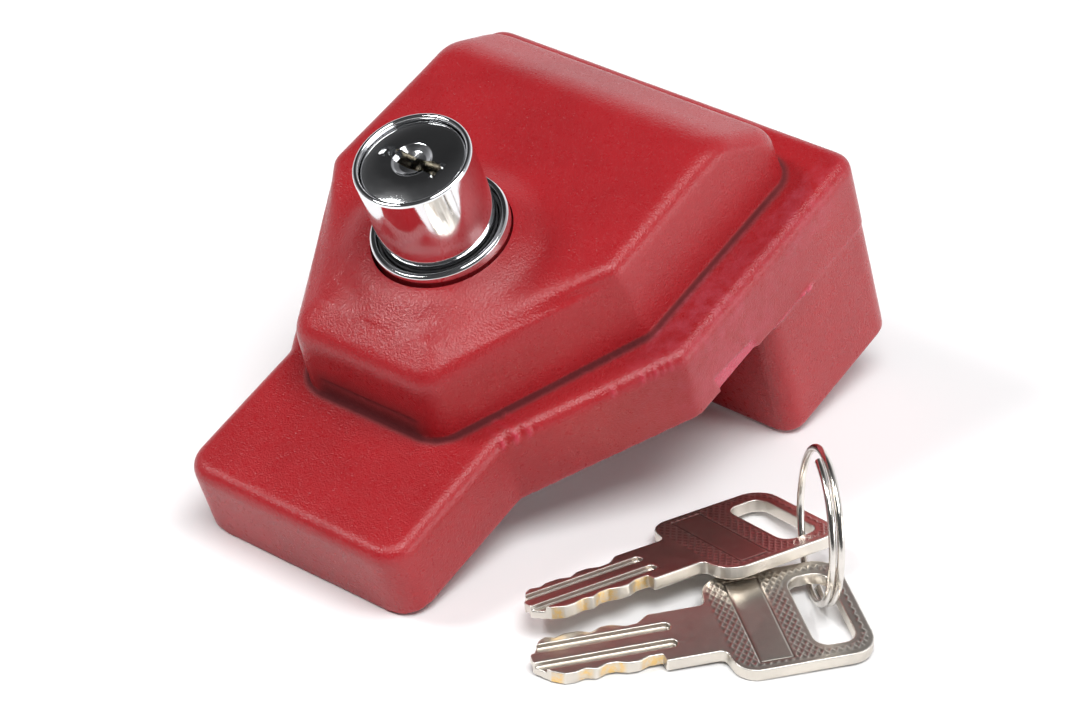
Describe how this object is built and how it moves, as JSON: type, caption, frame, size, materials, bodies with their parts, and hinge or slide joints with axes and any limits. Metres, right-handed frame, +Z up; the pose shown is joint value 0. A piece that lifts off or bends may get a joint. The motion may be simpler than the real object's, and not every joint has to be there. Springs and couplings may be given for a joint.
{
  "type": "gladhand lock",
  "caption": "Push-in lock for a trailer air coupling: moulded wedge housing with hooked leg, sprung keyed plunger driving a pin, and keys on a split ring.",
  "frame": {"origin": "on the table, under the centre of everything's bounding box, housing and keys together", "axes": "+X from the housing's tongue towards its leg, +Y across the housing away from the keys, +Z up from the table"},
  "size_m": [0.121, 0.132, 0.072],
  "materials": {
    "red_plastic": "satin, fine grain",
    "chrome": "polished",
    "steel": "zinc plated",
    "brass": "machined",
    "nickel": "nickel plated",
    "rubber": "matte"
  },
  "bodies": {
    "case": {"housing": "red_plastic", "base_cover": "steel", "cover_gasket": "rubber", "cover_screw_1": "steel", "cover_screw_2": "steel", "cover_screw_3": "steel", "cover_screw_4": "steel", "lock_sleeve": "chrome", "sleeve_gasket": "rubber", "wiper_seal": "rubber", "guide_bush": "brass", "guide_pin": "steel", "return_spring": "steel"},
    "plunger": {"plunger_barrel": "chrome", "spring_seat": "steel"},
    "plug": {"key_plug": "chrome", "wafer_1": "brass", "wafer_2": "brass", "wafer_3": "brass", "wafer_4": "brass", "wafer_5": "brass", "wafer_6": "brass", "plug_clip": "steel", "lock_cam": "steel", "locking_pin": "steel"},
    "ring": {"split_ring": "nickel"},
    "first_key": {"key_1": "nickel"},
    "second_key": {"key_2": "nickel"}
  },
  "joints": [
    {"name": "plunger_push", "type": "slide", "parent": "case", "child": "plunger", "axis": [0.3951, 0, -0.9187], "range_m": [0, 0.01], "stiffness_N_per_m": 600, "springref_m": -0.004, "deforming": ["return_spring"]},
    {"name": "plug_turn", "type": "hinge", "parent": "plunger", "child": "plug", "pos_m": [-0.02015, 0.02426, 0.0548], "axis": [-0.3951, 0, 0.9187], "range_deg": [0, 90]},
    {"name": "key_set_lift", "type": "slide", "parent": "case", "child": "ring", "axis": [0, 0, 1], "range_m": [0, 0.12]},
    {"name": "key_1_swing", "type": "hinge", "parent": "ring", "child": "first_key", "pos_m": [-0.00022, -0.04104, 0.006], "axis": [0, 0, -1], "range_deg": [0, 10]},
    {"name": "key_2_swing", "type": "hinge", "parent": "ring", "child": "second_key", "pos_m": [-0.01112, -0.05184, 0.003], "axis": [0, 0, 1], "range_deg": [0, 10]}
  ]
}
